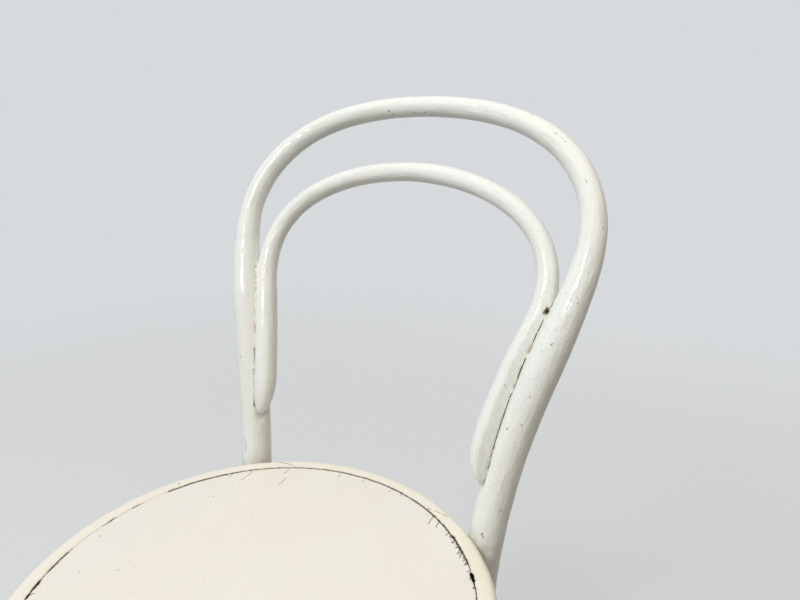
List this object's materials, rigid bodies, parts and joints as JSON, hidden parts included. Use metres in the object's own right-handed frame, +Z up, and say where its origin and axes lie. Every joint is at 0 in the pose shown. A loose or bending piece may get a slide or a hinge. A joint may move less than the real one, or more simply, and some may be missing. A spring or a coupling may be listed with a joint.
{
  "type": "bentwood chair",
  "caption": "Bentwood side chair in old cracked cream paint, with a bent back bow, an inner hoop, a round seat and a leg ring.",
  "frame": {"origin": "on the floor, under the middle of the chair's bounding box", "axes": "+Z up, the back towards +Y, the sitter faces -Y, +X to the sitter's left"},
  "size_m": [0.4138, 0.5254, 0.8503],
  "materials": {
    "back_paint": "old cracked gloss paint, off-white",
    "seat_paint": "old cracked gloss paint, warm cream",
    "leg_paint": "old gloss paint, off-white",
    "zinc": "dull zinc plate",
    "painted_head": "steel painted over"
  },
  "bodies": {
    "root": {"back_bow": "back_paint", "inner_hoop": "back_paint", "seat_ring": "seat_paint", "seat_panel": "seat_paint", "front_leg_left": "leg_paint", "front_leg_right": "leg_paint", "leg_ring": "leg_paint", "bow_bolts": "painted_head", "bow_bolt_washers": "zinc", "bow_bolt_nuts": "zinc", "inner_hoop_screws": "painted_head", "front_leg_screws": "zinc", "leg_ring_screws": "painted_head"}
  },
  "joints": []
}
